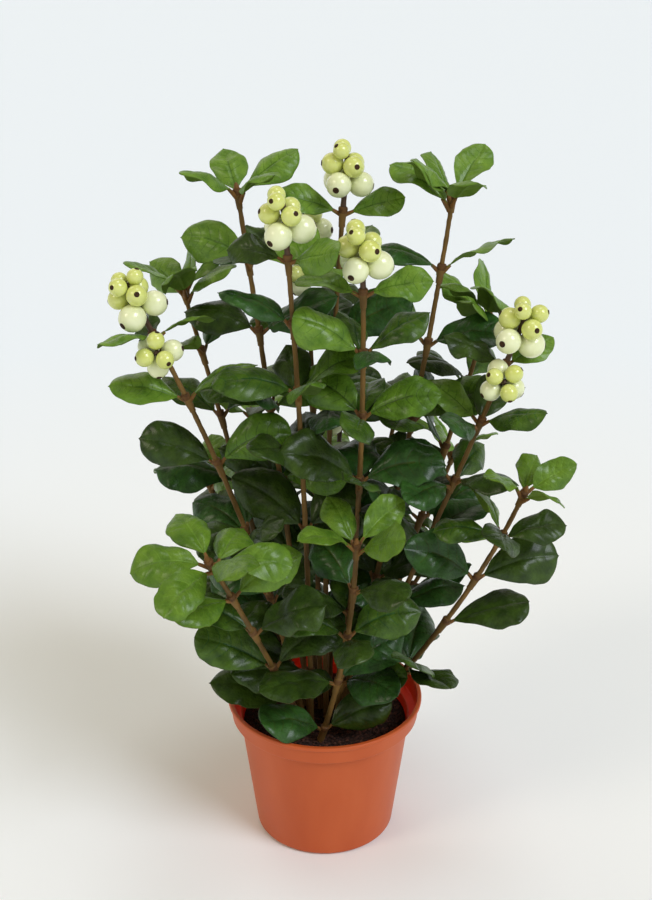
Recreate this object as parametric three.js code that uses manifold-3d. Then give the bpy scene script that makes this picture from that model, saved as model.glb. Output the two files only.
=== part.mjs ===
import * as THREE from 'three';
import { mergeVertices } from 'three/addons/utils/BufferGeometryUtils.js';
import Module from 'manifold-3d';

// Artificial potted snowberry: wire shoots with moulded leaves and berries, in a filled plastic pot.
// Millimetres, +Z up, front towards -Y, origin at the centre of the pot's flat underside.

// Pot: a plain 13 cm pot with a band and a bead round its rim.
const potHeight = 99;
const rimRadius = 65;
const bandTopRadius = 63.6;
const bandBottomRadius = 62.4;
const bandHeight = 14;
const beadHeight = 3.4;
const bodyTopRadius = 57.3;
const baseRadius = 46.4;
const baseRounding = 2.4;
const lipRounding = 0.7;
const bandUndercut = 0.8;
const wallThickness = 1.5;
const floorThickness = 2.1;
const potSides = 32;

// Filler: a cast plug with a granular top, a little below the band.
const fillerTop = 80;
const fillerPlay = 0.4;
const seatGap = 0.3;

// Corners of a joined solid lie on a grid this fine, so that no two are nearly alike.
const cornerGrid = 0.004;

// Shoots: coated wire with a plastic sleeve wherever leaves leave it.
const wireRadiusFoot = 1.9;
const wireRadiusTip = 1.4;
const sleeveRadius = 2.7;
const sleeveLength = 11;
const sleeveShoulder = 1.5;
const wireSides = 4;
const tierGrowth = 0.04;
const lowestTier = 24;
const footTurn = 35;
const cutBelowTier = 13;
const shortestBough = 10;
const headTiers = 2;
const tiersForHead = 5;

// Leaves: lengths below the tip of a shoot, the last one serving all lower tiers, and how a leaf
// leaves its sleeve: its petiole, its rise from level at first and at its end.
const leafLengths = [42, 46, 49];
const lowHabit = { petiole: 7, rise: 48, end: 2 };
const berryHabit = { length: 34, petiole: 7, rise: 24, end: 0 };
const tipHabit = { length: 36, petiole: 9, rise: 56, end: 14 };
const leafJitter = { turn: 6, rise: 10, end: 18, roll: 24, length: 0.07 };
const leafWidthShare = 0.62;
const leafThickness = 0.9;
const petioleHalfWidth = 1;
const extraPairShare = 0.42;
const extraPairScale = 0.85;
const extraPairDrop = 3;
const petioleRoot = 1;
const petioleDrop = 3.5;
const leastSpread = 38;
const leastBend = 10;
const outwardTilt = 34;
const outwardReach = 26;
const tiltCentre = 55;
const baseTaper = 0.8;
const tipTaper = 0.6;
const bladeStops = [0.4, 0.8];
const nudges = [[0, 0], [14, -6], [-14, 6], [27, 8], [-27, -8], [40, 0], [-40, 10], [0, 22], [0, -20]];
const nudgedScales = [1, 0.84];

// Space round a leaf that no other leaf, wire or berry may enter.
const leafGuard = 0.7;
const berryGuard = 1.2;
const wireGuard = 1;
const shellStart = 0.06;
const berryShellSides = 6;
const berryShellRise = 0.8;
const berryShellWaist = 0.6;
const rimShellSides = 24;
const crownRadius = 166;
const crownTop = 475;

// Berries: layers of three from the foot of a cluster upwards, each layer smaller.
const berryLayers = [
  { rise: 0, spread: 9.4, radius: 7.8 },
  { rise: 11, spread: 8.4, radius: 6.2 },
  { rise: 19.5, spread: 6.8, radius: 5.2 },
];
const clusterStalk = 15.5;
const lowClusterScale = 0.84;
const lowClusterDrop = 15;
const lowClusterStalk = 9;
const lowClusterLift = 0.5;
const berryJitter = { turn: 8, size: 0.06 };
const stalkRadius = 2.3;
const berrySides = 6;
const berryBands = 4;
const berrySeed = 41;
const leafSeed = 1207;

// Colours of the plain masses.
const terracotta = 0xb0572f;
const darkBrown = 0x2b1812;
const wireBrown = 0x6b4a32;
const deepGreen = 0x28491f;
const mixedGreen = 0x3f7a2a;
const freshGreen = 0x4f8a2a;

// Each shoot: where it leaves the filler, where its last sleeve ends, how far its middle bows out,
// the distance between its two top tiers, the way its leaf pairs point (degrees from +X) from the
// tip down, and the number of berries at its tip and in the cluster below that. A shoot without
// berries ends in two pairs of leaves, or in the pairs, length and rise it names.
const shoots = [
  { name: 'front_low', foot: [-3, -29], tip: [19, -62, 243], bow: [10, 0], gap: 34.5,
    turns: [35, 130, 5, 20, 0] },
  { name: 'front_tall', foot: [7, -12], tip: [22, -35, 393], bow: [11, 0], gap: 38,
    turns: [0, 10, -10, 0, 70, 0], berries: 8 },
  { name: 'front_left_tall', foot: [-9, -9], tip: [-21, -32, 412], bow: [5, 0], gap: 40,
    turns: [160, -5, 15, 80, 170], berries: 8 },
  { name: 'left_berry', foot: [-14, -5], tip: [-101, -25, 364], bow: [20, 0], gap: 43,
    turns: [20, 10, 0, 60, 150], berries: 9, lowBerries: 6 },
  { name: 'right_berry', foot: [10, -6], tip: [108, -21, 344], bow: [5, 0], gap: 40,
    turns: [20, 150, -40, 30, 100], berries: 9, lowBerries: 6 },
  { name: 'left_tall', foot: [-10, 1], tip: [-52, 20, 437], bow: [4, 0], gap: 41,
    turns: [30, 160, 175, 80, 10, 120] },
  { name: 'right_tall', foot: [9, 2], tip: [76, 15, 436], bow: [12, 0], gap: 44,
    turns: [40, 5, -35, 160, 60, 0], tipPairs: 3, tipRise: 68 },
  { name: 'centre_tall', foot: [1, -2], tip: [11, 20, 426], bow: [-8, 0], gap: 38,
    turns: [10, 60, 0, 110, 20, 90], berries: 8 },
  { name: 'front_left_low', foot: [-15, -12], tip: [-67, -92, 248], bow: [5, 0], gap: 36,
    turns: [125, 50, 175, 60, 0], tipPairs: 3, tipLength: 40, tipRise: 30 },
  { name: 'front_right_low', foot: [18, -12], tip: [119, -50, 272], bow: [21, 0], gap: 35,
    turns: [5, 100, 5, 170, 80], tipLength: 31 },
  { name: 'left_middle', foot: [-16, 5], tip: [-89, 42, 370], bow: [4, 0], gap: 40,
    turns: [20, 60, 150, 0, 80, 130], tipPairs: 3, tipLength: 39, tipRise: 68 },
  { name: 'right_middle', foot: [15, 5], tip: [104, 45, 351], bow: [6, 0], gap: 43,
    turns: [10, 60, 130, 20, 90], tipPairs: 3, tipLength: 39, tipRise: 68 },
  { name: 'back_tall', foot: [-3, 9], tip: [-11, 55, 387], bow: [2, 0], gap: 45,
    turns: [0, 50, 140, 20, 90], berries: 8, lowBerries: 5 },
  { name: 'back_left_low', foot: [-13, 12], tip: [-80, 65, 226], bow: [0, 6], gap: 38,
    turns: [30, 120, 60] },
  { name: 'back_low', foot: [-3, 17], tip: [-26, 85, 229], bow: [0, 6], gap: 38,
    turns: [45, 0, 100] },
  { name: 'back_right_low', foot: [19, 11], tip: [82, 60, 184], bow: [-8, 4], gap: 36,
    turns: [75, 0, 120] },
  { name: 'back_left_middle', foot: [-10, 19], tip: [-50, 96, 262], bow: [0, 8], gap: 40,
    turns: [20, 90, 0, 130] },
  { name: 'back_right_middle', foot: [6, 15], tip: [50, 94, 268], bow: [0, 8], gap: 40,
    turns: [70, 150, 30, 100] },
  { name: 'back_outer', foot: [3, 24], tip: [10, 120, 226], bow: [0, 10], gap: 38,
    turns: [0, 80, 20, 110], berries: 8 },
  { name: 'back_right_outer', foot: [11, 10], tip: [90, 88, 238], bow: [4, 6], gap: 38,
    turns: [60, 130, 20, 90] },
];

const wasm = await Module();
wasm.setup();

const plant = new THREE.Group();
const radians = THREE.MathUtils.degToRad;
const up = new THREE.Vector3(0, 0, 1);

function makeRandom(seed) {
  let state = seed;
  return (low, high) => {
    state = (Math.imul(state, 1664525) + 1013904223) >>> 0;
    return low + (high - low) * state / 4294967296;
  };
}

function add(name, geometry, color, roughness) {
  const material = new THREE.MeshStandardMaterial({ color, roughness, metalness: 0 });
  const mesh = new THREE.Mesh(geometry, material);
  mesh.name = name;
  plant.add(mesh);
}

// A closed skin over rings of points that run anticlockwise as seen from the last ring, which may
// be a single point.
function loft(rings) {
  const sides = rings[0].length;
  const last = (rings.length - 1) * sides;
  const pointed = rings[rings.length - 1].length === 1;
  const faces = [];
  for (let start = 0; start < last; start += sides) {
    for (let side = 0; side < sides; side += 1) {
      const a = start + side;
      const b = start + (side + 1) % sides;
      if (pointed && start + sides === last) {
        faces.push([a, b, last]);
      } else {
        faces.push([a, b, b + sides], [a, b + sides, a + sides]);
      }
    }
  }
  for (let side = 1; side < sides - 1; side += 1) {
    faces.push([0, side + 1, side]);
    if (!pointed) {
      faces.push([last, last + side, last + side + 1]);
    }
  }
  return { points: rings.flat(), faces };
}

function geometryOf({ points, faces }) {
  const geometry = new THREE.BufferGeometry().setFromPoints(points);
  geometry.setIndex(faces.flat());
  return geometry;
}

function solidOf(geometry) {
  const bare = geometry.clone();
  bare.deleteAttribute('normal');
  bare.deleteAttribute('uv');
  const merged = mergeVertices(bare, 1e-4);
  const vertProperties = new Float32Array(merged.attributes.position.array);
  const triVerts = new Uint32Array(merged.index.array);
  return new wasm.Manifold(new wasm.Mesh({ numProp: 3, vertProperties, triVerts }));
}

function geometryFrom(solid) {
  const mesh = solid.getMesh();
  const corners = mesh.vertProperties.map((value) => Math.round(value / cornerGrid) * cornerGrid);
  const geometry = new THREE.BufferGeometry();
  geometry.setAttribute('position', new THREE.BufferAttribute(corners, 3));
  geometry.setIndex(new THREE.BufferAttribute(mesh.triVerts, 1));
  return geometry;
}

// Joins the pieces of one mass, then fills any pocket that has closed between them.
function fuse(geometries) {
  const whole = geometries.map(solidOf).reduce((joined, piece) => joined.add(piece));
  const bodies = solidOf(geometryFrom(whole)).decompose();
  const [body] = bodies.sort((a, b) => b.volume() - a.volume());
  const geometry = geometryFrom(body);
  geometry.computeVertexNormals();
  return geometry;
}

// The pot's wall is straight from its foot to the band.
function bodyRadius(height) {
  return baseRadius + (bodyTopRadius - baseRadius) * height / (potHeight - bandHeight);
}

function turned(profile) {
  const points = profile.map(([radius, height]) => new THREE.Vector2(radius, height));
  return new THREE.LatheGeometry(points, potSides).rotateX(Math.PI / 2);
}

function makePot() {
  const bandBottom = potHeight - bandHeight;
  const beadBottom = potHeight - beadHeight;
  const innerTop = bandTopRadius - wallThickness;
  add('pot', turned([
    [0, 0],
    [baseRadius - baseRounding, 0],
    [baseRadius - baseRounding / 5, baseRounding / 3],
    [bodyRadius(baseRounding), baseRounding],
    [bodyTopRadius, bandBottom],
    [bandBottomRadius, bandBottom + bandUndercut],
    [bandTopRadius, beadBottom],
    [rimRadius, beadBottom + 2 * lipRounding],
    [rimRadius, potHeight - lipRounding],
    [rimRadius - lipRounding, potHeight],
    [innerTop, potHeight],
    [innerTop - bandUndercut, bandBottom + wallThickness],
    [bodyTopRadius - wallThickness, bandBottom],
    [bodyRadius(floorThickness) - wallThickness, floorThickness],
    [0, floorThickness],
  ]), terracotta, 0.6);
}

function makeFiller() {
  const bottom = floorThickness + seatGap;
  const inset = wallThickness + fillerPlay;
  add('filler', turned([
    [0, bottom],
    [bodyRadius(bottom) - inset, bottom],
    [bodyRadius(fillerTop) - inset, fillerTop],
    [0, fillerTop],
  ]), darkBrown, 0.95);
}

// Shoots: each follows one gently bowed curve, and its tiers are counted down from the last sleeve.

function layOut(shoot) {
  const foot = new THREE.Vector3(...shoot.foot, fillerTop + seatGap);
  const tip = new THREE.Vector3(...shoot.tip);
  const middle = foot.clone().add(tip).multiplyScalar(0.5);
  middle.x += shoot.bow[0];
  middle.y += shoot.bow[1];
  shoot.curve = new THREE.QuadraticBezierCurve3(foot, middle, tip);
  shoot.length = foot.distanceTo(tip);
  const belowTip = (index) => shoot.gap * index * (1 + tierGrowth * (index - 1));
  shoot.tiers = shoot.turns.map((turn, index) => ({ turn, index, below: belowTip(index) }));
  for (let index = shoot.tiers.length; belowTip(index) < shoot.length - lowestTier; index += 1) {
    const lean = THREE.MathUtils.radToDeg(Math.atan2(shoot.tip[1], shoot.tip[0]));
    shoot.tiers.push({ turn: lean + (index % 2 ? footTurn : -footTurn), index, below: belowTip(index) });
  }
}

function place(shoot, below) {
  const share = 1 - below / shoot.length;
  return { point: shoot.curve.getPoint(share), along: shoot.curve.getTangent(Math.min(share, 1)), share };
}

function wireRadius(share) {
  return wireRadiusFoot + (wireRadiusTip - wireRadiusFoot) * share;
}

function ringAround(point, along, radius, sides) {
  const first = new THREE.Vector3(0, 1, 0).cross(along).normalize();
  const second = along.clone().cross(first);
  return Array.from({ length: sides }, (unused, side) => {
    const angle = side / sides * Math.PI * 2;
    return point.clone()
      .addScaledVector(first, radius * Math.cos(angle))
      .addScaledVector(second, radius * Math.sin(angle));
  });
}

// Rings of a shoot between two distances below its tip, swollen into a sleeve at each tier.
function wireRings(shoot, lowest, highest, extra) {
  const stops = [[lowest, 0], [highest, 0]];
  for (const { below } of shoot.tiers) {
    stops.push([below + sleeveLength, 0], [below, sleeveRadius], [below - sleeveShoulder, 0]);
  }
  return stops
    .filter(([below]) => below <= lowest && below >= highest)
    .sort((a, b) => b[0] - a[0])
    .map(([below, radius]) => {
      const { point, along, share } = place(shoot, below);
      const ring = ringAround(point, along, (radius || wireRadius(share)) + extra, wireSides);
      if (below === shoot.length) {
        ring.forEach((corner) => { corner.z = fillerTop + seatGap; });
      }
      return ring;
    });
}

// Berries in layers of three round an axis, each layer turned to lie over the gaps of the last.
function clusterOf(base, axis, count, scale, random) {
  const first = new THREE.Vector3(0, 1, 0).cross(axis).normalize();
  const second = axis.clone().cross(first);
  return Array.from({ length: count }, (unused, index) => {
    const layer = Math.floor(index / 3);
    const { rise, spread, radius } = berryLayers[layer];
    const angle = radians(120 * (index % 3) + 60 * layer + random(-berryJitter.turn, berryJitter.turn));
    const centre = base.clone()
      .addScaledVector(axis, rise * scale)
      .addScaledVector(first, spread * scale * Math.cos(angle))
      .addScaledVector(second, spread * scale * Math.sin(angle));
    return { centre, radius: radius * scale * random(1 - berryJitter.size, 1 + berryJitter.size) };
  });
}

function growBerries(shoot, random) {
  shoot.clusters = [];
  if (shoot.berries) {
    const { point, along } = place(shoot, 0);
    const base = point.clone().addScaledVector(along, clusterStalk);
    const top = base.clone().addScaledVector(along, berryLayers[2].rise);
    const berries = clusterOf(base, along, shoot.berries, 1, random);
    shoot.clusters.push({ berries, stalk: [point, top], along });
  }
  if (shoot.lowBerries) {
    const { point, along } = place(shoot, lowClusterDrop);
    const axis = along.clone().multiplyScalar(lowClusterLift).add(new THREE.Vector3(0, -1, 0)).normalize();
    const base = point.clone().addScaledVector(axis, lowClusterStalk);
    const top = base.clone().addScaledVector(axis, berryLayers[1].rise * lowClusterScale);
    const berries = clusterOf(base, axis, shoot.lowBerries, lowClusterScale, random);
    shoot.clusters.push({ berries, stalk: [point, top], along: axis });
  }
}

function clusterGeometries({ berries, stalk, along }) {
  const [start, end] = stalk;
  const core = geometryOf(loft([
    ringAround(start, along, wireRadiusTip, wireSides),
    ringAround(start.clone().lerp(end, 0.5), along, stalkRadius, wireSides),
    ringAround(end, along, stalkRadius, wireSides),
  ]));
  return [core, ...berries.map(({ centre, radius }) => (
    new THREE.SphereGeometry(radius, berrySides, berryBands).rotateX(Math.PI / 2).translate(...centre)))];
}

// Half the width of a blade at a share of its length: a wedge at the base, and blunt at the tip.
function halfWidth(share, length) {
  const widest = baseTaper / (baseTaper + tipTaper);
  const swell = (share / widest) ** baseTaper * ((1 - share) / (1 - widest)) ** tipTaper;
  return length * leafWidthShare / 2 * swell;
}

function heading(turn, elevation) {
  const flat = Math.cos(radians(elevation));
  return new THREE.Vector3(
    flat * Math.cos(radians(turn)),
    flat * Math.sin(radians(turn)),
    Math.sin(radians(elevation)),
  );
}

// A leaf leaves its wire steeply, at least leastSpread from it, then curls down to its end elevation.
// Its face tilts away from a line behind the middle of the crown, so the front is the fuller side.
function leafFrame({ node, along, turn, rise, end, roll, length, petiole }) {
  const wanted = heading(turn, rise);
  const spread = Math.max(wanted.angleTo(along), radians(leastSpread));
  const out = wanted.addScaledVector(along, -wanted.dot(along)).normalize();
  const start = along.clone().multiplyScalar(Math.cos(spread)).addScaledVector(out, Math.sin(spread));
  const down = new THREE.Vector3(0, 0, -1).addScaledVector(start, start.z).normalize();
  const across = start.clone().cross(down);
  const bend = Math.max(Math.asin(start.z) - radians(end), radians(leastBend));
  const curl = bend / (petiole + length);
  const outward = new THREE.Vector3(node.x, node.y - tiltCentre, 0);
  outward.divideScalar(outwardReach).clampLength(0, 1);
  const tilt = radians(roll - outwardTilt * across.dot(outward));
  return (distance) => {
    const angle = curl * distance;
    const point = node.clone()
      .addScaledVector(start, Math.sin(angle) / curl)
      .addScaledVector(down, (1 - Math.cos(angle)) / curl);
    const ahead = start.clone().multiplyScalar(Math.cos(angle)).addScaledVector(down, Math.sin(angle));
    const above = ahead.cross(across);
    const side = across.clone().multiplyScalar(Math.cos(tilt)).addScaledVector(above, Math.sin(tilt));
    const face = above.multiplyScalar(Math.cos(tilt)).addScaledVector(across, -Math.sin(tilt));
    return { point, side, face };
  };
}

function leafRing(frame, distance, width, above, below) {
  const { point, side, face } = frame(distance);
  return [
    point.clone().addScaledVector(side, width).addScaledVector(face, above),
    point.clone().addScaledVector(side, -width).addScaledVector(face, above),
    point.clone().addScaledVector(face, -below),
  ];
}

function leafSkin(leaf) {
  const frame = leafFrame(leaf);
  const { length, petiole } = leaf;
  return loft([
    ...[petioleRoot, petiole].map((distance) => (
      leafRing(frame, distance, petioleHalfWidth, petioleHalfWidth / 2, petioleHalfWidth))),
    ...bladeStops.map((stop) => (
      leafRing(frame, petiole + length * stop, halfWidth(stop, length), 0, leafThickness))),
    [frame(petiole + length).point],
  ]);
}

function leafShell(leaf) {
  const frame = leafFrame(leaf);
  const { length, petiole } = leaf;
  return shellOf(loft([shellStart, ...bladeStops, 1].map((stop) => {
    const width = halfWidth(stop, length) + leafGuard;
    return leafRing(frame, petiole + length * stop, width, leafGuard, leafGuard + leafThickness);
  })));
}

// Two shells touch where an edge of one goes through a face of the other.
function shellOf({ points, faces }) {
  const edges = new Map();
  for (const [a, b, c] of faces) {
    for (const [from, to] of [[a, b], [b, c], [c, a]]) {
      edges.set(Math.min(from, to) * points.length + Math.max(from, to), [from, to]);
    }
  }
  return { points, faces, edges: [...edges.values()], box: new THREE.Box3().setFromPoints(points) };
}

function pierces(a, b) {
  const ray = new THREE.Ray();
  const hit = new THREE.Vector3();
  return a.edges.some(([from, to]) => {
    ray.origin.copy(a.points[from]);
    ray.direction.subVectors(a.points[to], a.points[from]);
    const length = ray.direction.length();
    ray.direction.normalize();
    return b.faces.some((corners) => {
      const [p, q, r] = corners.map((corner) => b.points[corner]);
      return ray.intersectTriangle(p, q, r, false, hit) && hit.distanceTo(ray.origin) <= length;
    });
  });
}

function touches(a, b) {
  return a.box.intersectsBox(b.box) && (pierces(a, b) || pierces(b, a));
}

function wireShell(shoot) {
  return shellOf(loft(wireRings(shoot, shoot.length, -sleeveShoulder, wireGuard)));
}

function berryShell({ centre, radius }) {
  const reach = radius + berryGuard;
  const ring = (rise, width) => (
    ringAround(centre.clone().addScaledVector(up, rise * reach), up, width * reach, berryShellSides));
  return shellOf(loft([
    ring(-berryShellRise, berryShellWaist),
    ring(0, 1),
    ring(berryShellRise, berryShellWaist),
  ]));
}

function rimShell() {
  const inner = bandTopRadius - wallThickness - leafGuard;
  const outer = rimRadius + leafGuard;
  const top = potHeight + leafGuard;
  const section = [[inner, fillerTop], [outer, fillerTop], [outer, top], [inner, top]];
  return shellOf(loft(Array.from({ length: rimShellSides + 1 }, (unused, index) => {
    const angle = index / rimShellSides * Math.PI * 2;
    return section.map(([radius, height]) => (
      new THREE.Vector3(radius * Math.cos(angle), radius * Math.sin(angle), height)));
  })));
}

function insideCrown({ points }) {
  return points.every((point) => (
    point.z > fillerTop + seatGap && point.z < crownTop && Math.hypot(point.x, point.y) < crownRadius));
}

// Tries a leaf as asked and then turned a little either way, and drops one that fits nowhere.
function settle(leaf, obstacles) {
  for (const scale of nudgedScales) {
    for (const [turnShift, riseShift] of nudges) {
      const turn = leaf.turn + turnShift;
      const rise = leaf.rise + riseShift;
      const candidate = { ...leaf, turn, rise, length: leaf.length * scale };
      const shell = leafShell(candidate);
      if (insideCrown(shell) && !obstacles.some((obstacle) => touches(shell, obstacle))) {
        obstacles.push(shell);
        return candidate;
      }
    }
  }
  return null;
}

function leafHabit(shoot, index) {
  if (index > 0) {
    return { ...lowHabit, length: leafLengths[Math.min(index, leafLengths.length) - 1] };
  }
  if (shoot.berries) {
    return berryHabit;
  }
  const { tipLength = tipHabit.length, tipRise = tipHabit.rise } = shoot;
  return { ...tipHabit, length: tipLength, rise: tipRise, end: tipHabit.end + tipRise - tipHabit.rise };
}

function growLeaves(shoot, obstacles, random) {
  const spread = (amount) => random(-amount, amount);
  shoot.leaves = [];
  for (const { turn, index, below } of shoot.tiers) {
    const habit = leafHabit(shoot, index);
    const leafyTip = index === 0 && !shoot.berries;
    const extraPair = random(0, 1) < extraPairShare;
    const pairs = leafyTip ? shoot.tipPairs || 2 : 1 + extraPair;
    for (let pair = 0; pair < pairs; pair += 1) {
      const scale = pair === 1 && !leafyTip ? extraPairScale : 1;
      const { point, along } = place(shoot, below + petioleDrop + pair * extraPairDrop);
      for (const side of [0, 180]) {
        const leaf = settle({
          node: point,
          along,
          turn: turn + side + 180 / pairs * pair + spread(leafJitter.turn),
          rise: habit.rise + spread(leafJitter.rise),
          end: habit.end + spread(leafJitter.end),
          roll: spread(leafJitter.roll),
          length: habit.length * scale * (1 + spread(leafJitter.length)),
          petiole: habit.petiole,
        }, obstacles);
        if (leaf) {
          shoot.leaves.push({ ...leaf, tier: index });
        }
      }
    }
  }
}

function wireGeometry(shoot, lowest, highest) {
  return geometryOf(loft(wireRings(shoot, lowest, highest, 0)));
}

function addMass(name, shoot, lowest, highest, tiers, color) {
  const pieces = [wireGeometry(shoot, lowest, highest)];
  for (const leaf of shoot.leaves.filter(({ tier }) => tiers.includes(tier))) {
    pieces.push(geometryOf(leafSkin(leaf)));
  }
  if (tiers.includes(0)) {
    pieces.push(...shoot.clusters.flatMap(clusterGeometries));
  }
  add(name, fuse(pieces), color, 0.5);
}

// A shoot is a bare bough, the leaves above that and, on a tall shoot, a head of its top tiers.
function addShoot(shoot) {
  const lastTier = shoot.tiers.length - 1;
  const tiers = shoot.tiers.map(({ index }) => index);
  const cut = shoot.tiers[lastTier].below + cutBelowTier;
  const hasBough = shoot.length - cut > shortestBough;
  if (hasBough) {
    add(`${shoot.name}_stem`, wireGeometry(shoot, shoot.length, cut), wireBrown, 0.7);
  }
  const lowest = hasBough ? cut - seatGap : shoot.length;
  if (tiers.length < tiersForHead) {
    addMass(`${shoot.name}_leaves`, shoot, lowest, -sleeveShoulder, tiers, mixedGreen);
    return;
  }
  const headCut = shoot.tiers[headTiers - 1].below + cutBelowTier;
  const lower = tiers.slice(headTiers);
  const upper = tiers.slice(0, headTiers);
  addMass(`${shoot.name}_leaves`, shoot, lowest, headCut, lower, deepGreen);
  addMass(`${shoot.name}_head`, shoot, headCut - seatGap, -sleeveShoulder, upper, freshGreen);
}

makePot();
makeFiller();
shoots.forEach(layOut);
const berryDraws = makeRandom(berrySeed);
shoots.forEach((shoot) => growBerries(shoot, berryDraws));
const obstacles = [rimShell(), ...shoots.map(wireShell)];
for (const { clusters } of shoots) {
  obstacles.push(...clusters.flatMap(({ berries }) => berries.map(berryShell)));
}
const leafDraws = makeRandom(leafSeed);
shoots.forEach((shoot) => growLeaves(shoot, obstacles, leafDraws));
shoots.forEach(addShoot);

export default plant;
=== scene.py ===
# Artificial potted snowberry: wire shoots with pressed leaves and lacquered berries in a plastic pot.
# The growing rule works in millimetres, and meshes are scaled to metres where they are made.
import math

import bpy
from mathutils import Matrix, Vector, noise
from mathutils.bvhtree import BVHTree


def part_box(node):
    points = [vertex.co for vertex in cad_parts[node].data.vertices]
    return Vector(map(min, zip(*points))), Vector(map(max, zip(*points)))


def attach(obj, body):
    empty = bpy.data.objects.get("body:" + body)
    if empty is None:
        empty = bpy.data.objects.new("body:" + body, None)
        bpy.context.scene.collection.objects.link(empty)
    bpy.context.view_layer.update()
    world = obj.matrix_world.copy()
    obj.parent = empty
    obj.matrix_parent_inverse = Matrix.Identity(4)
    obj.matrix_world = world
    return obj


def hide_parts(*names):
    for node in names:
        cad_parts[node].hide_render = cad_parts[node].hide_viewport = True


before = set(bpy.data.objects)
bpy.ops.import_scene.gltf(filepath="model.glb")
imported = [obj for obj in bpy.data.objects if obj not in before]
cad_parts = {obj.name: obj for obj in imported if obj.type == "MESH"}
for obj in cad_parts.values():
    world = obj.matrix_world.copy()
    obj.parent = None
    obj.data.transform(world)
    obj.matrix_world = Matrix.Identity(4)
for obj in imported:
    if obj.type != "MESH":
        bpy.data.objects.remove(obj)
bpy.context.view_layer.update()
print("frame loaded:", len(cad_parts), "solids")

mm = 0.001
up = Vector((0, 0, 1))


def toLinear(hexColour):
    channels = [value / 255 for value in bytes.fromhex(hexColour[1:])]
    return [c / 12.92 if c <= 0.04045 else ((c + 0.055) / 1.055) ** 2.4 for c in channels] + [1]


def addNode(tree, kind, settings, links):
    node = tree.nodes.new(kind)
    for name, value in settings.items():
        if isinstance(name, str) and hasattr(node, name):
            setattr(node, name, value)
        else:
            node.inputs[name].default_value = value
    for name, source in links.items():
        tree.links.new(source, node.inputs[name])
    return node


# A surface with its own two tones in soft patches and a fine relief, both sized in millimetres.
def makeMaterial(name, tones, patch, grain, relief, stretch=(1, 1, 1), **shader):
    material = bpy.data.materials.new(name)
    material.use_nodes = True
    tree = material.node_tree
    surface = tree.nodes["Principled BSDF"]
    place = addNode(tree, "ShaderNodeTexCoord", {}, {})
    scaled = addNode(tree, "ShaderNodeMapping", {"Scale": stretch}, {"Vector": place.outputs["Object"]})
    patches = addNode(tree, "ShaderNodeTexNoise", {"Scale": 1 / (patch * mm), "Detail": 3},
                      {"Vector": scaled.outputs["Vector"]})
    # One tone turns to the other over the middle half of the noise.
    share = addNode(tree, "ShaderNodeMapRange", {"From Min": 0.25, "From Max": 0.75},
                    {"Value": patches.outputs["Fac"]})
    colour = addNode(tree, "ShaderNodeMix",
                     {"data_type": "RGBA", 6: toLinear(tones[0]), 7: toLinear(tones[1])},  # its two colours
                     {0: share.outputs["Result"]})
    grains = addNode(tree, "ShaderNodeTexNoise", {"Scale": 1 / (grain * mm), "Detail": 2},
                     {"Vector": scaled.outputs["Vector"]})
    bump = addNode(tree, "ShaderNodeBump", {"Strength": 1, "Distance": relief * mm},
                   {"Height": grains.outputs["Fac"]})
    tree.links.new(colour.outputs[2], surface.inputs["Base Color"])
    tree.links.new(bump.outputs["Normal"], surface.inputs["Normal"])
    for socket, value in shader.items():
        surface.inputs[socket.replace("_", " ")].default_value = value
    return material


def newPile():
    return {"points": [], "faces": [], "finishes": []}


# Adds a closed shape to a pile, in one finish or in a finish for each face.
def pour(pile, points, faces, finish=0):
    start = len(pile["points"])
    pile["points"].extend(points)
    pile["faces"].extend([corner + start for corner in face] for face in faces)
    pile["finishes"].extend(finish if isinstance(finish, list) else [finish] * len(faces))


# A shown piece from a pile, smooth up to an angle: it rides on the plant and stands for its solids.
def makePiece(name, pile, materials, nodes, sharpFrom=50):
    mesh = bpy.data.meshes.new(name)
    mesh.from_pydata([[c * mm for c in point] for point in pile["points"]], [], pile["faces"])
    for material in materials:
        mesh.materials.append(material)
    mesh.polygons.foreach_set("material_index", pile["finishes"])
    mesh.polygons.foreach_set("use_smooth", [True] * len(mesh.polygons))
    mesh.set_sharp_from_angle(angle=math.radians(sharpFrom))
    piece = bpy.data.objects.new(name, mesh)
    bpy.context.scene.collection.objects.link(piece)
    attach(piece, "root")
    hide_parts(*nodes)
    print("made", name, "with", sum(len(face) - 2 for face in pile["faces"]), "triangles")


# A repeatable run of numbers, the same on every machine.
def makeRandom(seed):
    state = [seed]

    def draw(low, high):
        state[0] = (state[0] * 1664525 + 1013904223) % 2 ** 32
        return low + (high - low) * state[0] / 2 ** 32

    return draw


# A skin over rings of points, closed at both ends.
def loft(rings):
    sides = len(rings[0])
    last = (len(rings) - 1) * sides
    faces = []
    for start in range(0, last, sides):
        for side in range(sides):
            a = start + side
            b = start + (side + 1) % sides
            faces.append([a, b, b + sides, a + sides])
    faces.append(list(range(sides))[::-1])
    faces.append(list(range(last, last + sides)))
    return [point for ring in rings for point in ring], faces


# A ring of points round a place, starting in a given direction or else level.
def ringAround(point, along, radius, sides, first=None):
    if first is None:
        first = Vector((0, 1, 0)).cross(along).normalized()
    second = along.cross(first)
    turns = [2 * math.pi * side / sides for side in range(sides)]
    return [point + first * (radius * math.cos(turn)) + second * (radius * math.sin(turn)) for turn in turns]


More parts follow.
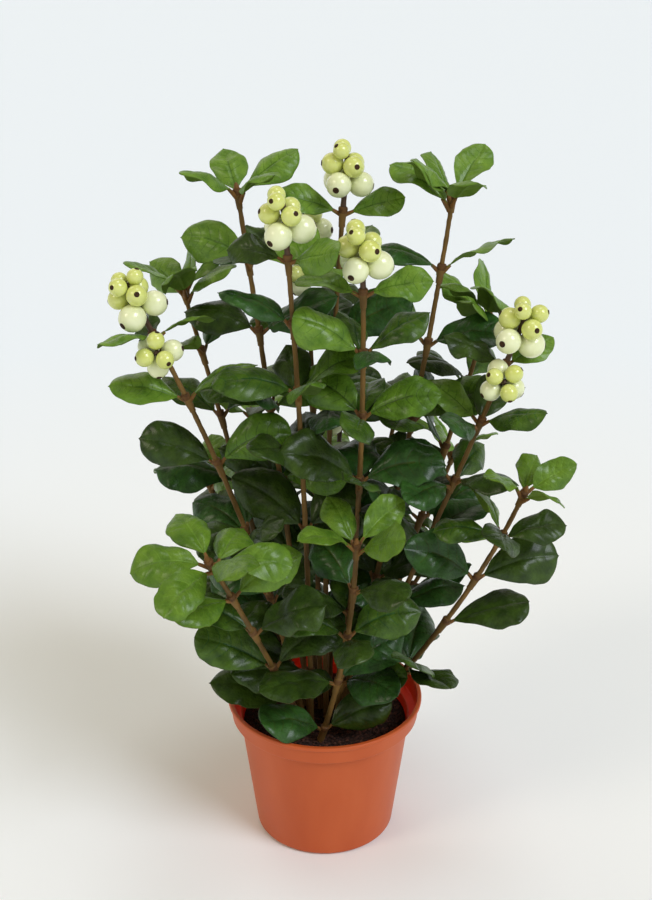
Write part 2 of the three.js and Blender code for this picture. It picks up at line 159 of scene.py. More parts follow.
# Pot: one turned shell, its corners rounded.
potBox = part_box("pot")
pot = {
    "height": potBox[1][2] / mm,
    "rimRadius": potBox[1][0] / mm,
    "bandTopRadius": 63.6,
    "bandBottomRadius": 62.4,
    "bandHeight": 14,
    "beadHeight": 3.4,
    "bodyTopRadius": 57.3,
    "baseRadius": 46.4,
    "footStep": 4,
    "footHeight": 0.5,
    "wall": 1.5,
    "floor": 2.1,
    "bandSlope": 0.3,  # how far the lower edges of the band and the bead rise as they step out
    "beadSlope": 0.7,
    "liningSlope": 0.8,  # how far the lining narrows down the band
    "roundings": [0, 0.2, 0.2, 2.4, 0.7, 1.2, 0.5, 0.6, 1.1, 0.6, 0.9, 0.9, 0.8, 0],  # corner by corner
    "cornerSteps": 5,
    "sides": 128,
}


# The corners of the pot's profile, from the middle of its underside to the middle of its floor.
def potProfile():
    bandBottom = pot["height"] - pot["bandHeight"]
    beadBottom = pot["height"] - pot["beadHeight"]
    footRadius = pot["baseRadius"] - pot["footStep"]
    innerTop = pot["bandTopRadius"] - pot["wall"]
    widening = (pot["bodyTopRadius"] - pot["baseRadius"]) / bandBottom
    innerBase = pot["baseRadius"] + widening * pot["floor"] - pot["wall"]
    return [Vector(corner) for corner in (
        (0, 0),
        (footRadius, 0),
        (footRadius, pot["footHeight"]),
        (pot["baseRadius"], pot["footHeight"]),
        (pot["bodyTopRadius"], bandBottom),
        (pot["bandBottomRadius"], bandBottom + pot["bandSlope"]),
        (pot["bandTopRadius"], beadBottom),
        (pot["rimRadius"], beadBottom + pot["beadSlope"]),
        (pot["rimRadius"], pot["height"]),
        (innerTop, pot["height"]),
        (innerTop - pot["liningSlope"], bandBottom + pot["wall"]),
        (pot["bodyTopRadius"] - pot["wall"], bandBottom),
        (innerBase, pot["floor"]),
        (0, pot["floor"]),
    )]


# Rounds each corner of the pot's profile with a short curve.
def roundProfile(profile):
    steps = pot["cornerSteps"]
    points = []
    for index, (corner, rounding) in enumerate(zip(profile, pot["roundings"])):
        if not rounding:
            points.append(corner)
            continue
        start = corner + (profile[index - 1] - corner).normalized() * rounding
        end = corner + (profile[index + 1] - corner).normalized() * rounding
        for step in range(steps + 1):
            share = step / steps
            points.append(start * (1 - share) ** 2 + corner * (2 * share * (1 - share)) + end * share ** 2)
    return points


# Turns a profile into a closed solid: its first and last points lie on the axis.
def turnProfile(profile, sides):
    points = [[0, 0, profile[0].y], [0, 0, profile[-1].y]]
    rows = profile[1:-1]
    faces = []
    for radius, height in rows:
        for side in range(sides):
            turn = 2 * math.pi * side / sides
            points.append([radius * math.cos(turn), radius * math.sin(turn), height])
    for side in range(sides):
        following = (side + 1) % sides
        faces.append([0, 2 + following, 2 + side])
        last = 2 + (len(rows) - 1) * sides
        faces.append([1, last + side, last + following])
        for row in range(len(rows) - 1):
            a = 2 + row * sides
            faces.append([a + side, a + following, a + sides + following, a + sides + side])
    return points, faces


def makePot():
    outline = roundProfile(potProfile())
    rimTop = max(range(len(outline)), key=lambda index: (outline[index].y, -outline[index].x))
    # The finishes down one side: the underside, the floor, and the rows, which are lining from the rim on,
    # with its painted glow.
    strip = [0, 1] + [int(row >= rimTop) for row in range(1, len(outline) - 2)]
    shell = newPile()
    pour(shell, *turnProfile(outline, pot["sides"]), strip * pot["sides"])
    # Polypropylene, injection moulded and pigmented through: even, waxy and satin, with faint flow marks.
    moulding = dict(patch=24, grain=1.6, relief=0.03, stretch=(1, 1, 0.35), Roughness=0.45, IOR=1.49,
                    Specular_IOR_Level=0.32)
    terracottaPolypropylene = makeMaterial("terracottaPolypropylene", ["#b85020", "#c25b2b"], **moulding)
    # The same plastic from inside, in a redder and brighter colour that is painted glow for light coming
    # through the thin wall, beside real subsurface scattering.
    glowingPolypropylene = makeMaterial(
        "glowingPolypropylene", ["#d04a20", "#dd5a28"], **moulding,
        Subsurface_Weight=0.6, Subsurface_Radius=(1, 0.3, 0.12), Subsurface_Scale=4 * mm)
    makePiece("potShell", shell, [terracottaPolypropylene, glowingPolypropylene],
              ["pot"], sharpFrom=60)


makePot()


# Filler: a cast plug whose top is a bed of glued granules.
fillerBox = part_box("filler")
filler = {
    "top": fillerBox[1][2] / mm,
    "bottom": fillerBox[0][2] / mm,
    "bottomRadius": 45.1,
    "topRadius": fillerBox[1][0] / mm,
    "sides": 64,
    "bedDepth": 0.9,
    "granules": 2600,
    "smallest": 0.9,
    "largest": 2.1,
    "heave": 0.5,  # how far a chip may stand up, as a share of its size
    "chipWidth": (0.6, 1.1),  # this and the next are shares of its size too
    "chipHeight": (0.35, 0.7),
    "chipLean": 0.3,
    "browns": 2.6,  # three browns, the last one rarest
    "seed": 7,
}


def makeFiller():
    draw = makeRandom(filler["seed"])
    bed = filler["top"] - filler["bedDepth"]
    profile = [Vector(p) for p in ((0, filler["bottom"]), (filler["bottomRadius"], filler["bottom"]),
                                   (filler["topRadius"], bed), (0, bed))]
    # Cast cork and resin, stained: a dull brown bed that shows between the granules.
    stainedCork = makeMaterial("stainedCork", ["#22120c", "#3a2116"], patch=5, grain=1.5, relief=0.5,
                               Roughness=0.95, IOR=1.45)
    plug = newPile()
    pour(plug, *turnProfile(profile, filler["sides"]))
    makePiece("fillerPlug", plug, [stainedCork], ["filler"])
    granules = newPile()
    corners = [Vector(c) for c in ((1, 0, 0), (0, 1, 0), (-1, 0, 0), (0, -1, 0), (0, 0, 1), (0, 0, -1))]
    faces = [[0, 1, 4], [1, 2, 4], [2, 3, 4], [3, 0, 4], [1, 0, 5], [2, 1, 5], [3, 2, 5], [0, 3, 5]]
    for _ in range(filler["granules"]):
        size = draw(filler["smallest"], filler["largest"])
        reach = (filler["topRadius"] - size) * math.sqrt(draw(0, 1))
        turn = draw(0, 2 * math.pi)
        height = bed + draw(0, filler["heave"]) * size
        place = Vector((reach * math.cos(turn), reach * math.sin(turn), height))
        chip = [Vector((c.x * size * draw(*filler["chipWidth"]), c.y * size * draw(*filler["chipWidth"]),
                        c.z * size * draw(*filler["chipHeight"]))) for c in corners]
        turned = [Vector((math.cos(turn) * c.x - math.sin(turn) * c.y,
                          math.sin(turn) * c.x + math.cos(turn) * c.y,
                          c.z + filler["chipLean"] * c.x)) for c in chip]
        pour(granules, [place + c for c in turned], faces, int(draw(0, filler["browns"])))
    # Cork granules, crushed and stained in three browns: rough chips with no gloss.
    browns = {"barkCork": ["#2a160f", "#341d14"], "coffeeCork": ["#3f2419", "#4a2c1f"],
              "russetCork": ["#5c3526", "#54301f"]}
    corks = [makeMaterial(name, tones, patch=3, grain=0.8, relief=0.2, Roughness=0.9)
             for name, tones in browns.items()]
    makePiece("fillerGranules", granules, corks, ["filler"], sharpFrom=20)


makeFiller()


# How the plant grows.
growth = {
    "seatGap": 0.3,
    "wireRadii": (1.9, 1.4),  # at the foot and at the tip
    "sleeveRadius": 2.7,
    "sleeveLength": 11,
    "sleeveShoulder": 1.5,
    "tierGrowth": 0.04,
    "lowestTier": 24,
    "footTurn": 35,
    "cutBelowTier": 13,
    "shortestBough": 10,
    "leafSeed": 1207,
    "berrySeed": 41,
}


# A shoot: where it leaves the filler, where its last sleeve ends, how far its middle bows out, the distance
# between its top tiers and the way its leaf pairs point, from the tip down. Some also say how many berries
# they have, how their tip leaves differ, or how many of their top tiers are bright.
def newShoot(name, foot, tip, bow, gap, turns, **more):
    return dict(name=name, foot=foot, tip=tip, bow=bow, gap=gap, turns=turns, **more)


shoots = [
    newShoot("front_low", (-3, -29), (19, -62, 243), (10, 0), 34.5, [35, 130, 5, 20, 0], bright=1),
    newShoot("front_tall", (7, -12), (22, -35, 393), (11, 0), 38, [0, 10, -10, 0, 70, 0], berries=8),
    newShoot("front_left_tall", (-9, -9), (-21, -32, 412), (5, 0), 40, [160, -5, 15, 80, 170], berries=8),
    newShoot("left_berry", (-14, -5), (-101, -25, 364), (20, 0), 43, [20, 10, 0, 60, 150],
             berries=9, lowBerries=6),
    newShoot("right_berry", (10, -6), (108, -21, 344), (5, 0), 40, [20, 150, -40, 30, 100],
             berries=9, lowBerries=6),
    newShoot("left_tall", (-10, 1), (-52, 20, 437), (4, 0), 41, [30, 160, 175, 80, 10, 120]),
    newShoot("right_tall", (9, 2), (76, 15, 436), (12, 0), 44, [40, 5, -35, 160, 60, 0],
             tipPairs=3, tipRise=68),
    newShoot("centre_tall", (1, -2), (11, 20, 426), (-8, 0), 38, [10, 60, 0, 110, 20, 90], berries=8),
    newShoot("front_left_low", (-15, -12), (-67, -92, 248), (5, 0), 36, [125, 50, 175, 60, 0],
             tipPairs=3, tipLength=40, tipRise=30, bright=2),
    newShoot("front_right_low", (18, -12), (119, -50, 272), (21, 0), 35, [5, 100, 5, 170, 80],
             tipLength=31, bright=1),
    newShoot("left_middle", (-16, 5), (-89, 42, 370), (4, 0), 40, [20, 60, 150, 0, 80, 130],
             tipPairs=3, tipLength=39, tipRise=68),
    newShoot("right_middle", (15, 5), (104, 45, 351), (6, 0), 43, [10, 60, 130, 20, 90],
             tipPairs=3, tipLength=39, tipRise=68),
    newShoot("back_tall", (-3, 9), (-11, 55, 387), (2, 0), 45, [0, 50, 140, 20, 90],
             berries=8, lowBerries=5),
    newShoot("back_left_low", (-13, 12), (-80, 65, 226), (0, 6), 38, [30, 120, 60], bright=1),
    newShoot("back_low", (-3, 17), (-26, 85, 229), (0, 6), 38, [45, 0, 100], bright=1),
    newShoot("back_right_low", (19, 11), (82, 60, 184), (-8, 4), 36, [75, 0, 120], bright=1),
    newShoot("back_left_middle", (-10, 19), (-50, 96, 262), (0, 8), 40, [20, 90, 0, 130]),
    newShoot("back_right_middle", (6, 15), (50, 94, 268), (0, 8), 40, [70, 150, 30, 100]),
    newShoot("back_outer", (3, 24), (10, 120, 226), (0, 10), 38, [0, 80, 20, 110], berries=8),
    newShoot("back_right_outer", (11, 10), (90, 88, 238), (4, 6), 38, [60, 130, 20, 90]),
]


# A shoot's curve and its tiers, which sit closer towards the tip and go on down to the filler.
def layOut(shoot):
    foot = Vector((*shoot["foot"], filler["top"] + growth["seatGap"]))
    tip = Vector(shoot["tip"])
    middle = (foot + tip) / 2 + Vector((*shoot["bow"], 0))
    shoot["curve"] = foot, middle, tip
    shoot["length"] = (tip - foot).length
    lean = math.degrees(math.atan2(tip.y, tip.x))

    def belowTip(index):
        return shoot["gap"] * index * (1 + growth["tierGrowth"] * (index - 1))

    turns = list(shoot["turns"])
    while belowTip(len(turns)) < shoot["length"] - growth["lowestTier"]:
        turns.append(lean + (growth["footTurn"] if len(turns) % 2 else -growth["footTurn"]))
    shoot["tiers"] = [{"turn": turn, "index": index, "below": belowTip(index)}
                      for index, turn in enumerate(turns)]
    shoot["cut"] = shoot["tiers"][-1]["below"] + growth["cutBelowTier"]
    shoot["hasBough"] = shoot["length"] - shoot["cut"] > growth["shortestBough"]


# The place at a distance below a shoot's tip, and which way the wire runs there.
def placeOn(shoot, below):
    foot, middle, tip = shoot["curve"]
    share = 1 - below / shoot["length"]
    bound = min(share, 1)
    point = foot * (1 - share) ** 2 + middle * (2 * share * (1 - share)) + tip * share ** 2
    along = (middle - foot) * (1 - bound) + (tip - middle) * bound
    return point, along.normalized(), share


def wireRadius(share):
    foot, tip = growth["wireRadii"]
    return foot + (tip - foot) * share


# Leaves: how they leave a sleeve, with angles in degrees, and the guards that keep them apart.
leafRule = {
    "lengths": [42, 46, 49],
    "low": {"petiole": 7, "rise": 48, "end": 2},
    "berry": {"length": 34, "petiole": 7, "rise": 24, "end": 0},
    "tip": {"length": 36, "petiole": 9, "rise": 56, "end": 14},
    "jitter": {"turn": 6, "rise": 10, "end": 18, "roll": 24, "length": 0.07},
    "widthShare": 0.62,
    "baseTaper": 0.8,
    "tipTaper": 0.6,
    "thickness": 0.9,
    "extraPairShare": 0.42,
    "extraPairScale": 0.85,
    "extraPairDrop": 3,
    "petioleDrop": 3.5,
    "leastSpread": 38,
    "leastBend": 10,
    "outwardTilt": 34,
    "outwardReach": 26,
    "tiltCentre": 55,
    "shellStops": [0.06, 0.4, 0.8, 1],
    "nudges": [(0, 0), (14, -6), (-14, 6), (27, 8), (-27, -8), (40, 0), (-40, 10), (0, 22), (0, -20)],
    "scales": [1, 0.84],
    "leafGuard": 0.7,
    "berryGuard": 1.2,
    "wireGuard": 1,
    "crownRadius": 166,
    "crownTop": 475,
}
berryRule = {
    "layers": [(0, 9.4, 7.8), (11, 8.4, 6.2), (19.5, 6.8, 5.2)],  # rise, spread and radius of three beads
    "stalk": 15.5,
    "lowScale": 0.84,
    "lowDrop": 15,
    "lowStalk": 9,
    "lowLift": 0.5,
    "rootDrop": 3,
    "turnJitter": 8,
    "sizeJitter": 0.06,
}


# A cluster on its stalk: beads in layers of three, each layer turned half way past the one below.
def growCluster(point, axis, stalk, count, scale, draw):
    first = Vector((0, 1, 0)).cross(axis).normalized()
    second = axis.cross(first)
    base = point + axis * stalk
    berries = []
    for index in range(count):
        layer = index // 3
        rise, spread, radius = berryRule["layers"][layer]
        jitter = draw(-berryRule["turnJitter"], berryRule["turnJitter"])
        turn = math.radians(120 * (index % 3) + 60 * layer + jitter)
        out = first * math.cos(turn) + second * math.sin(turn)
        size = draw(1 - berryRule["sizeJitter"], 1 + berryRule["sizeJitter"])
        centre = base + axis * (rise * scale) + out * (spread * scale)
        berries.append({"centre": centre, "radius": radius * scale * size, "out": out, "layer": layer,
                        "root": base + axis * (rise * scale - berryRule["rootDrop"])})
    return {"berries": berries, "start": point, "axis": axis, "end": base + axis * (rise * scale)}


def growBerries(shoot, draw):
    clusters = []
    if "berries" in shoot:
        point, along, _ = placeOn(shoot, 0)
        clusters.append(growCluster(point, along, berryRule["stalk"], shoot["berries"], 1, draw))
    if "lowBerries" in shoot:
        point, along, _ = placeOn(shoot, berryRule["lowDrop"])
        axis = (along * berryRule["lowLift"] + Vector((0, -1, 0))).normalized()
        clusters.append(growCluster(point, axis, berryRule["lowStalk"], shoot["lowBerries"],
                                    berryRule["lowScale"], draw))
    shoot["clusters"] = clusters


# Half the width of a blade at a share of its length: a wedge at the base, and blunt at the tip.
def halfWidth(share, length, baseTaper=leafRule["baseTaper"], tipTaper=leafRule["tipTaper"]):
    widest = baseTaper / (baseTaper + tipTaper)
    swell = (share / widest) ** baseTaper * ((1 - share) / (1 - widest)) ** tipTaper
    return length * leafRule["widthShare"] / 2 * swell


def heading(turn, rise):
    turn, rise = math.radians(turn), math.radians(rise)
    return Vector((math.cos(rise) * math.cos(turn), math.cos(rise) * math.sin(turn), math.sin(rise)))


# The arc that a leaf's midrib follows from its sleeve, with the tilt of its face.
def leafFrame(leaf):
    along, node = leaf["along"], leaf["node"]
    wanted = heading(leaf["turn"], leaf["rise"])
    spread = max(wanted.angle(along), math.radians(leafRule["leastSpread"]))
    out = (wanted - along * wanted.dot(along)).normalized()
    start = along * math.cos(spread) + out * math.sin(spread)
    down = (Vector((0, 0, -1)) + start * start.z).normalized()
    across = start.cross(down)
    bend = max(math.asin(start.z) - math.radians(leaf["end"]), math.radians(leafRule["leastBend"]))
    curl = bend / (leaf["petiole"] + leaf["length"])
    outward = Vector((node.x, node.y - leafRule["tiltCentre"], 0)) / leafRule["outwardReach"]
    if outward.length > 1:
        outward.normalize()
    tilt = math.radians(leaf["roll"] - leafRule["outwardTilt"] * across.dot(outward))

    def at(distance):
        angle = curl * distance
        point = node + start * (math.sin(angle) / curl) + down * ((1 - math.cos(angle)) / curl)
        ahead = start * math.cos(angle) + down * math.sin(angle)
        above = ahead.cross(across)
        side = across * math.cos(tilt) + above * math.sin(tilt)
        face = above * math.cos(tilt) - across * math.sin(tilt)
        return point, side, face

    return at


# The room that a leaf takes up, in a few coarse faces.
def leafShell(leaf):
    at = leafFrame(leaf)
    guard = leafRule["leafGuard"]
    rings = []
    for stop in leafRule["shellStops"]:
        point, side, face = at(leaf["petiole"] + leaf["length"] * stop)
        width = halfWidth(stop, leaf["length"]) + guard
        rings.append([point + side * width + face * guard, point - side * width + face * guard,
                      point - face * (guard + leafRule["thickness"])])
    return shellOf(*loft(rings))


def shellOf(points, faces):
    triangles = [[face[0], face[k], face[k + 1]] for face in faces for k in range(1, len(face) - 1)]
    low = [min(point[axis] for point in points) for axis in range(3)]
    high = [max(point[axis] for point in points) for axis in range(3)]
    tree = BVHTree.FromPolygons(points, triangles, all_triangles=True)
    return {"points": points, "low": low, "high": high, "tree": tree}


def touches(a, b):
    near = all(a["low"][axis] <= b["high"][axis] and b["low"][axis] <= a["high"][axis] for axis in range(3))
    return near and bool(a["tree"].overlap(b["tree"]))


def wireShell(shoot):
    stops = {shoot["length"]: 0, -growth["sleeveShoulder"]: 0}
    for tier in shoot["tiers"]:
        stops[tier["below"] + growth["sleeveLength"]] = 0
        stops[tier["below"]] = growth["sleeveRadius"]
        stops[tier["below"] - growth["sleeveShoulder"]] = 0
    rings = []
    for below in sorted(stops, reverse=True):
        if below <= shoot["length"]:
            point, along, share = placeOn(shoot, below)
            radius = (stops[below] or wireRadius(share)) + leafRule["wireGuard"]
            rings.append(ringAround(point, along, radius, 4))
    return shellOf(*loft(rings))


def berryShell(bead):
    reach = bead["radius"] + leafRule["berryGuard"]
    rings = [ringAround(bead["centre"] + up * (rise * reach), up, width * reach, 6)
             for rise, width in ((-0.8, 0.6), (0, 1), (0.8, 0.6))]
    return shellOf(*loft(rings))


# The pot's rim, which leaves keep off.
def rimShell():
    guard = leafRule["leafGuard"]
    inner = pot["bandTopRadius"] - pot["wall"] - guard
    outer = pot["rimRadius"] + guard
    top = pot["height"] + guard
    section = [(inner, filler["top"]), (outer, filler["top"]), (outer, top), (inner, top)]
    turns = [2 * math.pi * index / 24 for index in range(25)]
    return shellOf(*loft([[Vector((radius * math.cos(turn), radius * math.sin(turn), height))
                           for radius, height in section] for turn in turns]))


def insideCrown(shell):
    return all(point.z > filler["top"] + growth["seatGap"] and point.z < leafRule["crownTop"]
               and math.hypot(point.x, point.y) < leafRule["crownRadius"] for point in shell["points"])


# Tries a leaf as asked and then turned a little either way, and drops one that fits nowhere.
def settle(leaf, obstacles):
    for scale in leafRule["scales"]:
        for turnShift, riseShift in leafRule["nudges"]:
            candidate = dict(leaf, turn=leaf["turn"] + turnShift, rise=leaf["rise"] + riseShift,
                             length=leaf["length"] * scale)
            shell = leafShell(candidate)
            if insideCrown(shell) and not any(touches(shell, obstacle) for obstacle in obstacles):
                obstacles.append(shell)
                return candidate
    return None


def leafHabit(shoot, index):
    if index:
        lengths = leafRule["lengths"]
        return dict(leafRule["low"], length=lengths[min(index, len(lengths)) - 1])
    if "berries" in shoot:
        return leafRule["berry"]
    habit = leafRule["tip"]
    rise = shoot.get("tipRise", habit["rise"])
    return dict(habit, length=shoot.get("tipLength", habit["length"]), rise=rise,
                end=habit["end"] + rise - habit["rise"])


def growLeaves(shoot, obstacles, draw):
    shoot["leaves"] = []
    for tier in shoot["tiers"]:
        index = tier["index"]
        habit = leafHabit(shoot, index)
        leafyTip = index == 0 and "berries" not in shoot
        extraPair = draw(0, 1) < leafRule["extraPairShare"]
        pairs = shoot.get("tipPairs", 2) if leafyTip else 1 + extraPair
        for pair in range(pairs):
            scale = leafRule["extraPairScale"] if pair and not leafyTip else 1
            below = tier["below"] + leafRule["petioleDrop"] + pair * leafRule["extraPairDrop"]
            point, along, _ = placeOn(shoot, below)
            for side in (0, 180):
                shift = {name: draw(-most, most) for name, most in leafRule["jitter"].items()}
                leaf = dict(node=point, along=along, tier=index, petiole=habit["petiole"], roll=shift["roll"],
                            turn=tier["turn"] + side + 180 / pairs * pair + shift["turn"],
                            rise=habit["rise"] + shift["rise"], end=habit["end"] + shift["end"],
                            length=habit["length"] * scale * (1 + shift["length"]))
                settled = settle(leaf, obstacles)
                if settled:
                    shoot["leaves"].append(settled)


def growPlant():
    for shoot in shoots:
        layOut(shoot)
    berryDraws = makeRandom(growth["berrySeed"])
    for shoot in shoots:
        growBerries(shoot, berryDraws)
    obstacles = [rimShell()] + [wireShell(shoot) for shoot in shoots]
    obstacles += [berryShell(bead) for shoot in shoots for cluster in shoot["clusters"]
                  for bead in cluster["berries"]]
    leafDraws = makeRandom(growth["leafSeed"])
    for shoot in shoots:
        growLeaves(shoot, obstacles, leafDraws)
    print("grown:", sum(len(shoot["leaves"]) for shoot in shoots), "leaves")


growPlant()
boughNodes = [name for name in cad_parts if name.endswith("_stem")]
massNodes = [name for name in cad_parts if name.endswith(("_leaves", "_head"))]


# Wires: brown coated wire, with a flared sleeve under each tier and a stub for each leaf.
wire = {
    "sides": 12,
    "ringEvery": 3,
    "leastGap": 0.8,
    "relief": 0.16,
    "sleeveSwell": 0.5,
    "sleeveFlare": 1.7,
    "sleeveRings": (8, 5, 2.5, 1, 0, -0.6),  # mm below the sleeve's top
    "stepGap": 0.1,  # mm between the two rings of a sharp step
    "collarRadius": 2.85,
    "collarDepth": 1.3,
    "collarStep": 0.5,
    "collarFrom": 1,  # mm below the sleeve's top
    "stubSides": 8,
    "stubSteps": 6,
    "stubRadii": (1.45, 1),  # at the sleeve and at its tip
    "stubTaper": 1.5,
    "stubShare": 0.97,
    "stubDrop": 0.85,  # how far a stub hangs under the leaf, as a share of its radius
    "budRadius": 1.8,
    "budRings": [(0, 0.8), (1.6, 1), (3.4, 0.8), (5, 0.3)],  # rise, and share of the radius
    "seed": 99,
}


# The wire's radius at a distance below the tip: a sleeve swells to a collar that is cut off square.
def coatRadius(shoot, below, share):
    bare = wireRadius(share)
    for tier in shoot["tiers"]:
        under = below - tier["below"]
        if 0 <= under <= growth["sleeveLength"]:
            flare = (1 - under / growth["sleeveLength"]) ** wire["sleeveFlare"]
            sleeve = bare + wire["sleeveSwell"]
            return sleeve + (wire["collarRadius"] - sleeve) * flare
        if -wire["collarDepth"] <= under < 0:
            return wire["collarRadius"] - (0 if under > -wire["collarDepth"] / 2 else wire["collarStep"])
    return bare


# A stretch of coated wire between two distances below the tip, with rings where its width changes.
def wireTube(shoot, lowest, highest, draw):
    sleeve, collar, gap = growth["sleeveLength"], wire["collarDepth"], wire["stepGap"]
    stops = {lowest, highest}
    for tier in shoot["tiers"]:
        for offset in (sleeve + gap, sleeve, *wire["sleeveRings"], -collar, -collar - gap):
            stops.add(tier["below"] + offset)
    below = highest + wire["ringEvery"]
    while below < lowest:
        if all(abs(below - stop) > wire["leastGap"] for stop in stops):
            stops.add(below)
        below += wire["ringEvery"]
    rings, finishes = [], []
    for stop in sorted((s for s in stops if highest <= s <= lowest), reverse=True):
        point, along, share = placeOn(shoot, stop)
        radius = coatRadius(shoot, stop, share)
        ring = ringAround(point, along, radius, wire["sides"])
        rings.append([point + (corner - point) * (1 + wire["relief"] * draw(-1, 1) / radius)
                      for corner in ring])
        isCollar = any(-collar - gap <= stop - tier["below"] <= wire["collarFrom"] for tier in shoot["tiers"])
        finishes.extend([2 if isCollar else 0] * wire["sides"])
    # One finish for each face: no side faces follow the last ring, but the two ends need theirs.
    return *loft(rings), finishes[wire["sides"]:] + [0, 0]


# A tube of round section along any path of (point, direction, radius).
def tubeAlong(path, sides):
    return loft([ringAround(point, along, radius, sides) for point, along, radius in path])


# The stub that a leaf is pushed onto, from its sleeve along the leaf's midrib.
def stubPath(leaf):
    at = leafFrame(leaf)
    reach = leaf["petiole"] * wire["stubShare"]
    first, last = wire["stubRadii"]
    steps = wire["stubSteps"]
    path = []
    for step in range(steps + 1):
        distance = reach * step / steps
        point, _, face = at(distance)
        ahead = (at(distance + 0.5)[0] - point).normalized()
        radius = first + (last - first) * (step / steps) ** wire["stubTaper"]
        path.append((point - face * (radius * wire["stubDrop"]), ahead, radius))
    return path


def makeWires():
    draw = makeRandom(wire["seed"])
    boughs, twigs = newPile(), newPile()
    for shoot in shoots:
        cut = shoot["cut"] if shoot["hasBough"] else shoot["length"]
        if shoot["hasBough"]:
            pour(boughs, *wireTube(shoot, shoot["length"], cut, draw))
        pour(twigs, *wireTube(shoot, cut, -growth["sleeveShoulder"], draw))
        for leaf in shoot["leaves"]:
            pour(twigs, *tubeAlong(stubPath(leaf), wire["stubSides"]), 1)
        if "berries" not in shoot:
            point, along, _ = placeOn(shoot, 0)
            bud = [(point + along * rise, along, wire["budRadius"] * width)
                   for rise, width in wire["budRings"]]
            pour(twigs, *tubeAlong(bud, wire["stubSides"]), 1)
    # PVC, extruded over wire and drawn through a rough die: dull olive brown with shallow knots.
    brownPvcCoat = makeMaterial("brownPvcCoat", ["#4f3b1b", "#826230"], patch=9, grain=1.4, relief=0.2,
                                stretch=(1, 1, 0.4), Roughness=0.55, IOR=1.53, Specular_IOR_Level=0.2)
    # Polyethylene stubs, moulded and painted: redder than the wire and a little smoother.
    stubPolyethylene = makeMaterial("stubPolyethylene", ["#60421f", "#855d2f"], patch=6, grain=1.2,
                                    relief=0.1, Roughness=0.5, IOR=1.51, Specular_IOR_Level=0.2)
    # Acrylic paint that has run together on the sleeve's cut collar: darker and rougher.
    collarPaint = makeMaterial("collarPaint", ["#442c16", "#6e4d2a"], patch=3, grain=0.9, relief=0.2,
                               Roughness=0.65, IOR=1.5, Specular_IOR_Level=0.2)
    makePiece("boughs", boughs, [brownPvcCoat], boughNodes)
    makePiece("twigs", twigs, [brownPvcCoat, stubPolyethylene, collarPaint], massNodes)


makeWires()


# Berries: lacquered beads in clusters on a dark stalk, each with a sunk eye that faces outwards.
berry = {
    "sides": 24,
    "bands": 16,
    "eyeShare": 0.26,
    "eyeLeast": 1.45,
    "eyeSides": 12,
    "eyeProfile": [(1, -0.6), (1, 0.1), (0.85, 0.3), (0.03, 0.2)],  # shares of its radius, and mm
    "stretch": 1.02,  # half a bead's length and the seat of its eye, in radii
    "eyeSeat": 0.985,
    "endRadius": 0.02,
    "lift": 0.35,  # how far eyes turn up with each layer, and then any way
    "sway": 0.35,
    "stalkRadius": 1.7,
    "stalkRings": [(0, 1.1), (0.15, 0.95), (0.4, 1.15), (0.6, 0.9), (0.8, 1), (1, 0.5)],  # height, width
    "stalkSides": 10,
    "stemRadius": 0.9,
    "stemReach": 0.8,
    "stemSides": 6,
    "seed": 5,
}


# A closed shape turned about any axis from its profile of (radius, rise).
def turnedAbout(centre, axis, profile, sides):
    first = axis.orthogonal().normalized()
    return loft([ringAround(centre + axis * rise, axis, radius, sides, first) for radius, rise in profile])


# The knotty stalk up the middle of a cluster.
def stalkPath(cluster):
    axis = cluster["axis"]
    height = (cluster["end"] - cluster["start"]).length
    return [(cluster["start"] + axis * (height * share), axis, berry["stalkRadius"] * width)
            for share, width in berry["stalkRings"]]


# A bead that dips to its eye, as a blown bead does round its plug.
def beadProfile(radius):
    turns = [math.pi * band / berry["bands"] for band in range(1, berry["bands"])]
    bands = [(radius * math.sin(turn), -radius * math.cos(turn) * berry["stretch"]) for turn in turns]
    end = berry["endRadius"]
    return [(end, -radius * berry["stretch"]), *bands, (end, radius * berry["eyeSeat"])]


